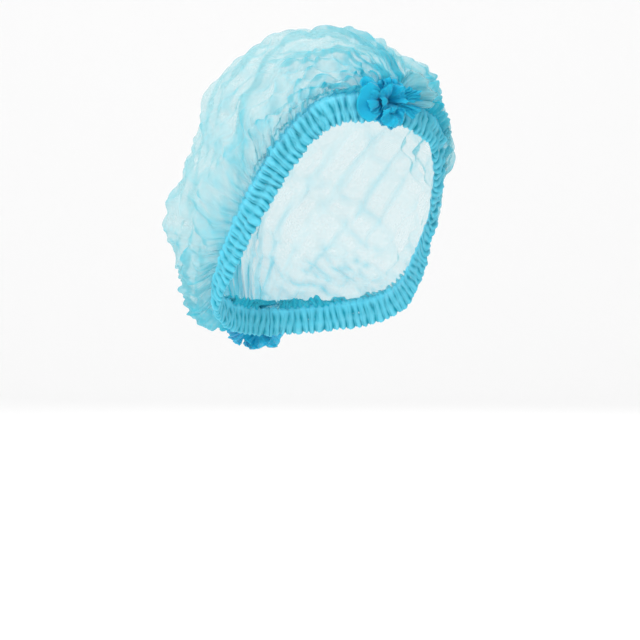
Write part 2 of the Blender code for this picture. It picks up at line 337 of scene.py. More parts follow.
# %% Where a point of the cloth lies
def slerp(a, b, t):
    angle = a.angle(b)
    if angle < 1e-6:
        return a.copy()
    return (a * math.sin((1 - t) * angle) + b * math.sin(t * angle)) / math.sin(angle)


right_rim = Side(-1, BUNCH_TURN, math.pi - BUNCH_TURN)
left_rim = Side(1, BUNCH_TURN, math.pi - BUNCH_TURN)


def sagittal(share):
    """The direction of the middle line of the cap, from the brow over the top to the nape."""
    brow, nape = rim_point(0.0) - INSIDE, rim_point(math.pi) - INSIDE
    start = math.atan2(brow.y, brow.z)
    end = math.atan2(nape.y, nape.z)
    angle = start + (end - start) * share
    return Vector((0, math.sin(angle), math.cos(angle)))


def cloth_point(along, across):
    """A place on the smooth crown, for shares from brow to nape and from the right hem to the left."""
    right = rim_point(right_rim.turn_at(along))
    left = rim_point(left_rim.turn_at(along))
    middle = sagittal(along)
    if across <= 0.5:
        direction = slerp((right - INSIDE).normalized(), middle, across * 2)
    else:
        direction = slerp(middle, (left - INSIDE).normalized(), across * 2 - 1)
    hit = on_crown(direction)
    nearness = min(across, 1 - across)
    rim = (right if across <= 0.5 else left) - INSIDE
    if hit is None:
        return INSIDE + direction * rim.length
    blend = min(1.0, nearness / RIM_BLEND)
    return INSIDE + direction * (rim.length * (1 - blend) + ((hit - INSIDE).length - INSET) * blend)


print("the middle of the cloth is at", [round(c, 3) for c in cloth_point(0.5, 0.5)])

# %% [markdown]
# A flat grid is made first and its points are then moved, so that its UV map keeps the flat cloth's shape
# and the weave follows the folds. One round of smoothing takes out the facets of the solid model.

# %% The smooth crown
def build_smooth_crown():
    bm = bmesh.new()
    bmesh.ops.create_grid(bm, x_segments=CELLS_ALONG, y_segments=CELLS_ACROSS, size=0.5, calc_uvs=False)
    shares = [(vert.co.x + 0.5, vert.co.y + 0.5) for vert in bm.verts]
    cloth_map = bm.loops.layers.uv.new("cloth")
    for face in bm.faces:
        for loop in face.loops:
            loop[cloth_map].uv = (loop.vert.co.x + 0.5, loop.vert.co.y + 0.5)
    for vert, (along, across) in zip(bm.verts, shares):
        vert.co = cloth_point(along, across)
    bmesh.ops.smooth_vert(
        bm,
        verts=[vert for vert in bm.verts if not vert.is_boundary],
        factor=0.5,
        use_axis_x=True,
        use_axis_y=True,
        use_axis_z=True,
    )
    bm.normal_update()
    if sum(face.normal.dot(face.calc_center_median() - INSIDE) for face in bm.faces) < 0:
        bmesh.ops.reverse_faces(bm, faces=bm.faces)
        bm.normal_update()
    return bm, shares


crown_mesh, crown_shares = build_smooth_crown()
print("smooth crown:", len(crown_mesh.verts), "points")

# %% [markdown]
# Three kinds of fold are laid on the smooth cloth. Pleats run from weld to weld, close and sharp beside
# the welds and wide and broken over the top. Wrinkles climb from the hem and die out on the side of the
# dome. Slow swells make the puffs uneven, since no real cap is symmetrical. A pleat in real cloth isn't a
# wave: it has a broad pale back and a narrow steep edge, where three layers lie on each other, so its
# profile is a leaning sawtooth.

# %% Sizes and profiles of the folds
PLEATS = 24
PLEAT_LIFT = 0.0052
WRINKLE_LIFT = 0.0034
SWELL_LIFT = 0.0045
DENT_DEPTH = 0.0022
CLEAR_OF_RIM = 0.030  # metres from the hem, past which pleats have their full height
LOW_WRINKLES = (0.022, 0.026)  # metres from the hem to the middle of the row, and its half width
HIGH_WRINKLES = (0.070, 0.050)
WELD_SHARE = 0.16  # how far from a weld its pleats are still close and regular
# large puffs and hollows, in shares from brow to nape and from the right hem to the left
PUFFS = [
    dict(along=0.45, across=0.50, along_span=0.22, across_span=0.16, height=-0.0045),
    dict(along=0.15, across=0.80, along_span=0.08, across_span=0.10, height=0.0060),
    dict(along=0.30, across=0.30, along_span=0.10, across_span=0.07, height=-0.0030),
    dict(along=0.62, across=0.24, along_span=0.10, across_span=0.10, height=-0.0030),
]
CLOTH_ACROSS = 0.40  # metres of cloth from hem to hem over the top
CLOTH_ALONG = 0.36  # metres of cloth from weld to weld over the top


def wander(x, y, z=0.0):
    """Smooth noise from -1 to 1."""
    return noise.noise(Vector((x, y, z)))


def sawtooth(phase, back=0.78):
    """From 0 up to 1 over the broad back of a pleat, and down its narrow edge, with both turns rounded."""
    part = phase - math.floor(phase)
    height = part / back if part < back else (1 - part) / (1 - back)
    return height * height * (3 - 2 * height)


def sharp_crease(value):
    """Noise turned into creases: 1 on a line and falling away on both sides of it."""
    return max(0.0, 1 - abs(value) * 3.2) ** 1.5


def bell(value, middle, half_width):
    """1 at the middle, falling smoothly away on both sides."""
    return math.exp(-(((value - middle) / half_width) ** 2))


print("a pleat a quarter, half and three quarters over:", [round(sawtooth(k / 4), 2) for k in (1, 2, 3)])

# %% [markdown]
# The lifts are added up at each point of the grid and laid along the smooth crown's normal there. A slow
# drift bends the pleats a little, and noise along each of them makes it fade out and come back, as the
# pleats of a stretched cap do. Beside the welds they are all there.

# %% Fold the crown
def puff_lift(row, along, across):
    """How far one puff or hollow lifts the cloth at a place."""
    down = (along - row["along"]) / row["along_span"]
    aside = (across - row["across"]) / row["across_span"]
    return row["height"] * math.exp(-(down ** 2) - aside ** 2)


def cloth_lift(along, across):
    """How far all the folds together lift the cloth at a place."""
    weld = min(1.0, min(along, 1 - along) / WELD_SHARE)
    rim = min(across, 1 - across) * CLOTH_ACROSS
    side = 1 if across < 0.5 else -1
    clear = min(1.0, rim / CLEAR_OF_RIM)
    drift = 0.030 * wander(along * 2.6, across * 4, 7.3) + 0.008 * wander(along * 8, across * 12, 1.9)
    bent = across + weld * drift
    fold = math.floor(PLEATS * bent)
    present = 0.5 + 1.1 * wander(along * 3.0, fold * 0.77, 3.7)
    strength = (1 - weld) * 0.75 + weld * max(0.0, min(1.2, present))
    pleat = PLEAT_LIFT * strength * (sawtooth(PLEATS * bent) - 0.5) * clear

    lean = along * CLOTH_ALONG + 0.010 * wander(along * 7, rim * 30, side * 4.4)
    rise = rim + 0.010 * wander(along * 11, rim * 18, side * 8.1)
    low = bell(rise, *LOW_WRINKLES)
    high = bell(rise, *HIGH_WRINKLES)
    creases = sharp_crease(wander(lean * 150, rise * 16, side * 2.2))
    narrow = creases - 0.25 + 0.8 * wander(lean * 120, rise * 14, side * 9.2)
    creases = sharp_crease(wander(lean * 75, rise * 14, side * 6.1))
    broad = creases - 0.25 + 0.8 * wander(lean * 55, rise * 12, side * 3.1)
    wrinkle = WRINKLE_LIFT * weld * (low * narrow + 1.4 * high * broad)
    dents = DENT_DEPTH * weld * clear * sharp_crease(wander(along * 10 + across * 4, across * 11, 5.5))
    swell = SWELL_LIFT * wander(along * 3.3, across * 4.1, 11.0) * clear * weld
    puffs = sum(puff_lift(row, along, across) for row in PUFFS)
    return pleat + wrinkle - dents + swell + puffs


def fold_crown(bm, shares):
    lifts = [
        vert.normal * cloth_lift(along, across) * (0.0 if vert.is_boundary else 1.0)
        for vert, (along, across) in zip(bm.verts, shares)
    ]
    for vert, lift in zip(bm.verts, lifts):
        vert.co += lift


def area_of(faces):
    return sum(face.calc_area() for face in faces)


smooth_area = area_of(crown_mesh.faces)
smooth_shares = np.array([area_of(vert.link_faces) for vert in crown_mesh.verts])
fold_crown(crown_mesh, crown_shares)
print("cloth: smooth", round(smooth_area, 4), "m2, folded", round(area_of(crown_mesh.faces), 4), "m2")

# %% [markdown]
# The simulation holds the cloth by its edges and lets the rest try to grow by about an eighth each way.
# Cloth that is too big for its place has nowhere to go but into buckles, which is how a crumpled sheet
# gets its creases. Every other point is pulled gently back to where it was, so that the puffs stay where
# they were put.
#
# Two helpers come first. One makes an object of a bmesh. The other makes what the modifiers show the
# object's own mesh, so that later steps can work on the folds themselves.

# %% Objects and their finished meshes
def object_from(name, bm):
    mesh = bpy.data.meshes.new(name)
    bm.to_mesh(mesh)
    bm.free()
    mesh.shade_smooth()
    made = bpy.data.objects.new(name, mesh)
    bpy.context.scene.collection.objects.link(made)
    return made


def apply_modifiers(thing):
    graph = bpy.context.evaluated_depsgraph_get()
    mesh = bpy.data.meshes.new_from_object(thing.evaluated_get(graph))
    thing.modifiers.clear()
    thing.data = mesh
    mesh.shade_smooth()


crown_cloth = object_from("crown_cloth", crown_mesh)
print(crown_cloth.name, "is an object of", len(crown_cloth.data.vertices), "points")

# %% [markdown]
# A vertex group says how firmly each point is held: wholly on the edges, fairly firmly beside the hem,
# and hardly at all on the open cloth. Gravity stays off, because the cloth already has the shape in which
# it is worn and should only crumple. The frames are stepped through one by one, because the simulation
# only goes on from the frame before, and the result is then made the object's mesh.

# %% Crumple the cloth
GROWTH = 0.12
HOLD = 0.05  # how firmly the open cloth is drawn back to its place
HOLD_AT_HEM = 0.5
HOLD_REACH = 0.012  # metres from the hem over which that firmer hold fades
FRAMES = 18


def share_table(mesh):
    """Each point's shares from brow to nape and from the right hem to the left, from the UV map."""
    table = np.zeros((len(mesh.vertices), 2))
    uv = mesh.uv_layers["cloth"].data
    for loop in mesh.loops:
        table[loop.vertex_index] = uv[loop.index].uv
    return table


def crumple(thing):
    held = thing.vertex_groups.new(name="held")
    for index, (along, across) in enumerate(share_table(thing.data)):
        rim = min(across, 1 - across) * CLOTH_ACROSS
        weld = min(along, 1 - along) * CLOTH_ALONG
        on_edge = min(rim, weld) < 1e-6
        weight = 1.0 if on_edge else HOLD + HOLD_AT_HEM * math.exp(-((rim / HOLD_REACH) ** 2))
        held.add([index], weight, "REPLACE")
    cloth = thing.modifiers.new("cloth", "CLOTH")
    cloth.settings.quality = 4
    cloth.settings.mass = 0.02
    cloth.settings.tension_stiffness = 12
    cloth.settings.compression_stiffness = 12
    cloth.settings.shear_stiffness = 4
    cloth.settings.bending_stiffness = 0.3
    cloth.settings.vertex_group_mass = "held"
    cloth.settings.pin_stiffness = 1.0
    cloth.settings.shrink_min = -GROWTH
    cloth.settings.shrink_max = -GROWTH
    cloth.settings.effector_weights.gravity = 0
    cloth.collision_settings.use_collision = False
    cloth.point_cache.frame_start = 1
    cloth.point_cache.frame_end = FRAMES
    for frame_number in range(1, FRAMES + 1):
        bpy.context.scene.frame_set(frame_number)
    apply_modifiers(thing)
    bpy.context.scene.frame_set(1)


before = np.array([vert.co for vert in crown_cloth.data.vertices])
crumple(crown_cloth)
after = np.array([vert.co for vert in crown_cloth.data.vertices])
moved = 1000 * np.linalg.norm(after - before, axis=1)
print("crumpled: moved", round(float(moved.mean()), 2), "mm on average")
print("and", round(float(moved.max()), 2), "mm at most")

# %% [markdown]
# ## See-through cloth
#
# Spunbond nonwoven is a web of clear blue fibres. One layer lets most light through and tints it a
# little; every further layer makes it deeper, which is why the gathered hem is so much bluer than the
# dome. The material is therefore a mix of a clear shader and a fibre shader, and the fibre shader passes
# on part of the light from behind. Cloud-like density and fine fibres come from noise. The small bond
# points where the web is welded make the faint grid of dimples.

# %% Short ways to make nodes
def new_node(tree, kind, **settings):
    made = tree.nodes.new(kind)
    for key, value in settings.items():
        setattr(made, key, value)
    return made


def math_node(tree, operation, first, second=None, third=None, clamp=False):
    made = new_node(tree, "ShaderNodeMath", operation=operation, use_clamp=clamp)
    for k, value in enumerate((first, second, third)):
        if value is None:
            continue
        if isinstance(value, (int, float)):
            made.inputs[k].default_value = value
        else:
            tree.links.new(value, made.inputs[k])
    return made.outputs[0]


def ramp_between(tree, factor, low, high):
    made = new_node(tree, "ShaderNodeMix", data_type="RGBA")
    made.inputs[6].default_value = (*low, 1)
    made.inputs[7].default_value = (*high, 1)
    tree.links.new(factor, made.inputs[0])
    return made.outputs[2]


def noise_node(tree, place, scale, detail):
    made = new_node(tree, "ShaderNodeTexNoise")
    made.inputs["Scale"].default_value = scale
    made.inputs["Detail"].default_value = detail
    tree.links.new(place, made.inputs["Vector"])
    return made


def mix_node(tree, share, first, second):
    """A shader that is the first where the share is 0 and the second where it is 1."""
    made = new_node(tree, "ShaderNodeMixShader")
    if isinstance(share, (int, float)):
        made.inputs[0].default_value = share
    else:
        tree.links.new(share, made.inputs[0])
    tree.links.new(first, made.inputs[1])
    tree.links.new(second, made.inputs[2])
    return made.outputs[0]


def add_bump(tree, height, strength, distance, shaders):
    made = new_node(tree, "ShaderNodeBump")
    made.inputs["Strength"].default_value = strength
    made.inputs["Distance"].default_value = distance
    tree.links.new(height, made.inputs["Height"])
    for shader in shaders:
        tree.links.new(made.outputs[0], shader.inputs["Normal"])


print("materials made so far:", [made.name for made in bpy.data.materials])

# %% [markdown]
# The material is built from the fibres outwards: where the pattern sits, the three patterns, the colour
# of the fibres, the shader of the fibres, and last how much clear air lies between them. The dome reads
# its patterns from the UV map, so that they are stretched and folded with the cloth. The hems and bunches
# are too crumpled for anyone to follow the weave, so they read Object coordinates.

# %% The nonwoven
PATTERN_SPAN = (0.46, 0.42, 1.0)  # metres of pattern that the dome's UV map covers
IN_METRES = (1, 1, 1)  # Object coordinates are in metres already
BOND_PITCH = 0.0011
BOND_RADIUS = 0.27  # in pitches


def nonwoven(name, thin, deep, cover, cover_deep, passed, place_scale, from_map):
    """See-through fibre cloth.

    thin and deep are its colours where it is one layer and where it is many; the deep end also serves as
    painted shade wherever the layers attribute darkens creases, slits and hollows. cover and cover_deep are
    how much of it is fibre there. passed is the share of its light that comes from behind.
    """
    made = bpy.data.materials.new(name)
    made.use_nodes = True
    tree = made.node_tree
    tree.nodes.clear()
    out = new_node(tree, "ShaderNodeOutputMaterial")
    if from_map:
        where = new_node(tree, "ShaderNodeUVMap", uv_map="cloth").outputs[0]
    else:
        where = new_node(tree, "ShaderNodeTexCoord").outputs["Object"]
    scaled = new_node(tree, "ShaderNodeMapping")
    scaled.inputs["Scale"].default_value = place_scale
    tree.links.new(where, scaled.inputs["Vector"])
    place = scaled.outputs[0]

    clouds = noise_node(tree, place, 260, 5)
    clouds.inputs["Roughness"].default_value = 0.62
    fibres = noise_node(tree, place, 1500, 3)
    fibres.inputs["Distortion"].default_value = 2.2
    bonds = new_node(tree, "ShaderNodeTexVoronoi", feature="F1")
    bonds.inputs["Scale"].default_value = 1 / BOND_PITCH
    bonds.inputs["Randomness"].default_value = 0.18
    tree.links.new(place, bonds.inputs["Vector"])
    dimple = math_node(tree, "LESS_THAN", bonds.outputs["Distance"], BOND_RADIUS)

    web = math_node(tree, "MULTIPLY_ADD", clouds.outputs[0], 1.1, -0.55)
    web = math_node(tree, "ADD", web, math_node(tree, "MULTIPLY_ADD", fibres.outputs[0], 0.5, -0.25))
    # the layers attribute holds real depth of cloth and also painted shade in creases, slits and hollows
    depth = new_node(tree, "ShaderNodeAttribute", attribute_name="layers").outputs["Fac"]
    tone = math_node(tree, "ADD", depth, math_node(tree, "MULTIPLY", web, 0.22), clamp=True)
    colour = ramp_between(tree, tone, thin, deep)

    fibre = new_node(tree, "ShaderNodeBsdfPrincipled")
    fibre.inputs["Roughness"].default_value = 0.52
    fibre.inputs["Specular IOR Level"].default_value = 0.35
    fibre.inputs["Sheen Weight"].default_value = 0.25
    fibre.inputs["Sheen Roughness"].default_value = 0.45
    tree.links.new(colour, fibre.inputs["Base Color"])
    through = new_node(tree, "ShaderNodeBsdfTranslucent")
    tree.links.new(colour, through.inputs["Color"])
    lit = mix_node(tree, passed, fibre.outputs[0], through.outputs[0])

    height = math_node(tree, "MULTIPLY_ADD", dimple, -0.6, fibres.outputs[0])
    add_bump(tree, height, 0.35, 0.00025, (fibre, through))

    clear = new_node(tree, "ShaderNodeBsdfTransparent")
    share = math_node(tree, "MULTIPLY_ADD", depth, cover_deep - cover, cover)
    share = math_node(tree, "ADD", share, math_node(tree, "MULTIPLY", web, 0.10))
    share = math_node(tree, "MULTIPLY_ADD", dimple, -0.03, share, clamp=True)
    mixed = mix_node(tree, share, clear.outputs[0], lit)
    tree.links.new(mixed, out.inputs[0])
    return made


print("bond points:", round(1 / (BOND_PITCH * 1000) ** 2, 2), "to the square millimetre")

# %% [markdown]
# One call makes each finish. The dome is pale and mostly clear, the hem is gathered many layers deep and
# lets little through, and the welded bunch is deepest. The upright ruffle is one or two layers, close to
# the dome's.

# %% The four finishes
THIN_BLUE = (0.36, 0.67, 0.71)
SKY = (0.03, 0.60, 0.74)
HEM_BLUE = (0.16, 0.80, 0.98)
# the hem's deepest colour, painted as shade into the slits between the gathers
SHADED_SLIT_TEAL = (0.0, 0.34, 0.46)
BUNCH_BLUE = (0.01, 0.66, 0.88)
BUNCH_DEEP = (0.0, 0.40, 0.66)

crown_finish = nonwoven("single_layer", THIN_BLUE, SKY, 0.35, 0.88, 0.45, PATTERN_SPAN, True)
hem_finish = nonwoven("gathered_layers", HEM_BLUE, SHADED_SLIT_TEAL, 0.74, 1.0, 0.22, IN_METRES, False)
bunch_finish = nonwoven("welded_layers", BUNCH_BLUE, BUNCH_DEEP, 0.74, 1.0, 0.35, IN_METRES, False)
ruffle_finish = nonwoven("standing_ruffle", THIN_BLUE, SKY, 0.40, 0.75, 0.45, IN_METRES, False)
print("finishes:", [made.name for made in (crown_finish, hem_finish, bunch_finish, ruffle_finish)])

# %% [markdown]
# See-through cloth looks deeper wherever more of it lies in the line of sight: on the steep edge of a
# pleat, in a sharp crease, beside the hem and beside the welds. Each point of the cloth is given that
# depth as a number. It comes from how much cloth the folding has crowded into that place, and from how
# sharply the cloth bends there. The bend part is only partly doubled cloth: the rest is painted shade,
# which darkens each sharp crease as if shade lay in it. The dome then gets one level of subdivision, and
# on the finer mesh come the small gathers beside the hem, too narrow for the first grid.

# %% Reading and measuring the folded cloth
def point_values(mesh, name, values):
    made = mesh.attributes.get(name) or mesh.attributes.new(name, "FLOAT", "POINT")
    made.data.foreach_set("value", values)


def positions(mesh):
    flat = np.empty(len(mesh.vertices) * 3, dtype=np.float32)
    mesh.vertices.foreach_get("co", flat)
    return flat.reshape(-1, 3).astype(float)


def edge_pairs(mesh):
    flat = np.empty(len(mesh.edges) * 2, dtype=np.int32)
    mesh.edges.foreach_get("vertices", flat)
    return flat.reshape(-1, 2)


def sum_at_ends(pairs, at_first, at_second, points):
    """Each edge adds one number at its first point and one at its second, and the points sum them up."""
    return np.bincount(pairs[:, 0], at_first, points) + np.bincount(pairs[:, 1], at_second, points)


def spread(values, pairs, rounds):
    """Each value averaged with its neighbours, a few times over."""
    count = np.bincount(pairs.ravel(), minlength=len(values))
    for _ in range(rounds):
        total = sum_at_ends(pairs, values[pairs[:, 1]], values[pairs[:, 0]], len(values))
        values = 0.5 * values + 0.5 * total / np.maximum(count, 1)
    return values


def bend_of(mesh):
    """How far each point lies from its neighbours' middle, in cells: more where the cloth bends sharply."""
    place, pairs = positions(mesh), edge_pairs(mesh)
    points = len(place)
    count = np.bincount(pairs.ravel(), minlength=points)
    sums = [sum_at_ends(pairs, place[pairs[:, 1], k], place[pairs[:, 0], k], points) for k in range(3)]
    middle = np.stack(sums, axis=1) / count[:, None]
    length = np.linalg.norm(place[pairs[:, 0]] - place[pairs[:, 1]], axis=1)
    cell = sum_at_ends(pairs, length, length, points) / count
    return np.linalg.norm(middle - place, axis=1) / cell


def crowding_of(mesh, smooth):
    """How much more cloth lies round each point than in the smooth dome."""
    own = np.zeros(len(mesh.vertices))
    for face in mesh.polygons:
        for index in face.vertices:
            own[index] += face.area
    return own / smooth


cloth_pairs = edge_pairs(crown_cloth.data)
crowding = crowding_of(crown_cloth.data, smooth_shares)
bend = bend_of(crown_cloth.data)
print("bend:", np.round(np.percentile(bend, (10, 50, 90)), 3), "at the 10th, 50th and 90th of 100 points")
print("crowding:", np.round(np.percentile(crowding, (10, 50, 90)), 2))

# %% [markdown]
# The depth of a point is the sum of where it lies and how it is folded; the fold part holds the painted
# shade of the creases. Beside the hem the folds count for less, because there the place alone makes the
# cloth deep already, and the small gathers are still to come.

# %% Depth of colour
FADE_FROM_HEM = 0.015
FADE_FROM_BROW = 0.12  # shares of the way from weld to weld
FADE_FROM_NAPE = 0.19
OPEN_FROM = 0.025  # metres from the hem, past which creases count in full


def depth_of_place(along, across):
    rim = np.minimum(across, 1 - across) * CLOTH_ACROSS
    at_hem = np.exp(-((rim / FADE_FROM_HEM) ** 2))
    at_brow = np.exp(-((along / FADE_FROM_BROW) ** 2))
    at_nape = np.exp(-(((1 - along) / FADE_FROM_NAPE) ** 2))
    return 0.55 * at_hem + 0.50 * at_brow + 0.62 * at_nape


table = share_table(crown_cloth.data)
# painted shade: sharp bends deepen the colour, partly for the doubled cloth and partly as shade in creases
crease_layers_and_shade = np.clip(1.1 * (spread(bend, cloth_pairs, 1) - 0.16), 0.0, 0.42)
crowd_depth = np.clip(0.26 * (spread(crowding, cloth_pairs, 2) - 1.35), 0.0, 0.40)
open_cloth = np.clip(np.minimum(table[:, 1], 1 - table[:, 1]) * CLOTH_ACROSS / OPEN_FROM, 0.25, 1.0)
depth = depth_of_place(table[:, 0], table[:, 1]) + (crease_layers_and_shade + crowd_depth) * open_cloth
point_values(crown_cloth.data, "layers", np.clip(depth, 0.0, 1.0).astype(np.float32))
print("depth of colour:", np.round(np.percentile(depth, (10, 50, 90)), 2))

# %% [markdown]
# The small gathers are a wave along the hem with one beat to each pleat of the hem, and noise to keep
# them from looking turned on a lathe. They also paint shade into the hollow of each gather by deepening
# its colour there. The normals are read once before any point moves: reading one after each move would
# make Blender work all of them out again every time.

# %% The small gathers
GATHERS_PER_SIDE = 54
GATHER_LIFT = 0.0020
GATHER_REACH = 0.024  # metres from the hem to where the small gathers have mostly gone
GATHER_START = 0.003  # metres from the hem over which they begin


def lay_gathers(thing):
    mesh = thing.data
    table = share_table(mesh)
    depth = np.zeros(len(mesh.vertices), dtype=np.float32)
    mesh.attributes["layers"].data.foreach_get("value", depth)
    place = positions(mesh)
    normals = np.array([vert.normal for vert in mesh.vertices])
    for index, (along, across) in enumerate(table):
        rim = min(across, 1 - across) * CLOTH_ACROSS
        if rim > 2.4 * GATHER_REACH:
            continue
        side = 1 if across < 0.5 else -1
        beat = GATHERS_PER_SIDE * along + 0.5 * wander(along * 17, rim * 30, side * 1.7)
        wave = math.cos(2 * math.pi * beat)
        fade = math.exp(-((rim / GATHER_REACH) ** 2)) * min(1.0, rim / GATHER_START)
        fade *= 0.75 + 0.6 * wander(along * 40, rim * 60, side * 3.3)
        place[index] += normals[index] * GATHER_LIFT * wave * fade
        # painted shade: the colour deepens in the hollow of each gather
        depth[index] += 0.26 * max(0.0, -wave) * fade
    mesh.vertices.foreach_set("co", place.astype(np.float32).ravel())
    mesh.update()
    point_values(mesh, "layers", np.clip(depth, 0.0, 1.0))


def subdivide(thing, levels):
    smooth = thing.modifiers.new("smooth", "SUBSURF")
    smooth.levels = levels
    smooth.render_levels = levels
    apply_modifiers(thing)


subdivide(crown_cloth, 1)
lay_gathers(crown_cloth)
crown_cloth.data.materials.clear()
crown_cloth.data.materials.append(crown_finish)
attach(crown_cloth, "root")
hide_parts("crown")
cloth_faces = crown_cloth.data.polygons
print("crown cloth:", len(cloth_faces), "faces,", round(sum(face.area for face in cloth_faces), 4), "m2")

# %% [markdown]
# ## The gathered hems
#
# Each hem is the cloth's edge, folded over the elastic and drawn up until the pleats stand side by side
# like the gills of a mushroom. The elastic pinches them along one line, so each pleat has a fat lower
# lobe at the edge and a longer upper lobe that runs out into the dome. The hem is a tube wrapped on the
# hem line: one direction of a grid runs along it, the other round it, and the grid's points are pushed
# out on a pleat and in between two.

# %% The shape of a hem ruffle
STEPS_PER_GATHER = 14
HEM_ROUND = 26
HEM_THINNEST = 0.0012  # from the hem's middle to its outer wall, so that the elastic stays covered
PINCH_PLACE = -0.12  # where the elastic pinches the hem, from -1 at its edge to 1 at its upper side
PINCH_WIDTH = 0.20
PINCH_DEPTH = 0.0011


def build_hem_ruffle(name, side, seed):
    bm = bmesh.new()
    cells = GATHERS_PER_SIDE * STEPS_PER_GATHER
    bmesh.ops.create_grid(bm, x_segments=cells, y_segments=HEM_ROUND, size=0.5)
    depth_layer = bm.verts.layers.float.new("layers")
    for vert in bm.verts:
        share, around = vert.co.x + 0.5, (vert.co.y + 0.5) * 2 * math.pi
        turn = side.turn_at(0.002 + 0.996 * share)
        outwards, upwards = hem_frame(turn)
        across, out = math.cos(around), math.sin(around)
        beat = GATHERS_PER_SIDE * share + 0.55 * wander(share * 23, across * 0.8, seed)
        beat += 0.22 * math.tanh(4 * (across - PINCH_PLACE)) * wander(share * 31, 0, seed + 5)
        crest = abs(math.cos(math.pi * beat)) ** 0.5
        pleat = math.floor(beat + 0.5)
        size = 0.92 + 0.75 * wander(pleat * 0.73, across * 1.3, seed + 9)
        nick = (beat - pleat - 0.18 - 0.3 * wander(pleat * 1.1, across, seed)) / 0.07
        crest *= 1 - 0.35 * math.exp(-(nick ** 2))
        pinch = math.exp(-(((across - PINCH_PLACE) / PINCH_WIDTH) ** 2))
        taper = 1 - 0.40 * max(0.0, across) ** 2
        creases = wander(share * 420, across * 3.1, seed + 17)
        creases += 0.6 * wander(share * 900, across * 7, seed + 19)
        full = 0.34 + 1.10 * size * crest * taper + 0.20 * creases
        thick = max(HEM_THINNEST, HEM_THICKNESS / 2 * full - PINCH_DEPTH * pinch)
        if out < 0:
            thick = HEM_THICKNESS / 2 * (0.40 + 0.42 * crest)
        edge = 1.0 + 0.20 * (crest - 0.6) * (1.3 if across < 0 else 0.8)
        edge += 0.16 * wander(pleat * 0.9, 3 * across, seed + 4)
        lean = 0.0018 * wander(pleat * 1.31, across * 1.5, seed + 2)
        vert.co = hem_point(turn) + upwards * across * HEM_WIDTH / 2 * edge
        vert.co += outwards * (out * thick + lean)
        # painted shade: the slits between the gathers are deepened in colour, most along two rows, as if
        # shade fell in them
        valley_shade = (1 - crest) ** 1.1
        rows = math.exp(-(((across + 0.78) / 0.32) ** 2)) + math.exp(-(((across - 0.16) / 0.34) ** 2))
        patch = 0.18 * wander(share * 90, across * 3, seed + 12)
        soft_edge = 1.6 * max(0.0, across - 0.55)
        depth = 0.10 + valley_shade * (0.25 + 1.45 * rows) + 0.12 * pinch + patch - 0.10 * creases - soft_edge
        vert[depth_layer] = max(-0.4, min(1.0, depth))
    bmesh.ops.remove_doubles(bm, verts=bm.verts, dist=1e-6)
    ends = [edge for edge in bm.edges if edge.is_boundary]
    bmesh.ops.holes_fill(bm, edges=ends, sides=0)
    bmesh.ops.recalc_face_normals(bm, faces=bm.faces)
    if bm.calc_volume(signed=True) < 0:
        bmesh.ops.reverse_faces(bm, faces=bm.faces)
    made = object_from(name, bm)
    made.data.materials.append(hem_finish)
    return made


print("each hem has", GATHERS_PER_SIDE * STEPS_PER_GATHER, "rows of", HEM_ROUND, "faces")

# %% [markdown]
# The two sides are built by the same function with different noise, and each takes the place of a solid
# hem.

# %% Both hems
for side_name, side, seed in (("right", right_side, 0.0), ("left", left_side, 31.7)):
    ruffle = build_hem_ruffle(f"{side_name}_hem_ruffle", side, seed)
    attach(ruffle, "root")
    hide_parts(f"{side_name}_hem")
    print(ruffle.name, len(ruffle.data.polygons), "faces")

# %% [markdown]
# ## The welded bunches
#
# At each end all the pleats come together in one weld, a few millimetres wide, and beyond the weld their
# loose ends spring open like a fan or a carnation. Each fan is a grid bent round the weld: its short side
# runs out from the weld, its long side goes round, and a zigzag along the long side makes the pleats.
# Several fans of different reach, lean and turn make the bunch. The cut edge of each fan is a fine pale
# line, because the heat of the cutter melts the fibres there.

# %% One fan
FAN_STEPS_OUT = 14
STEPS_PER_FOLD = 14
FAN_THICKNESS = 0.00022
WELD_RADIUS = 0.0012


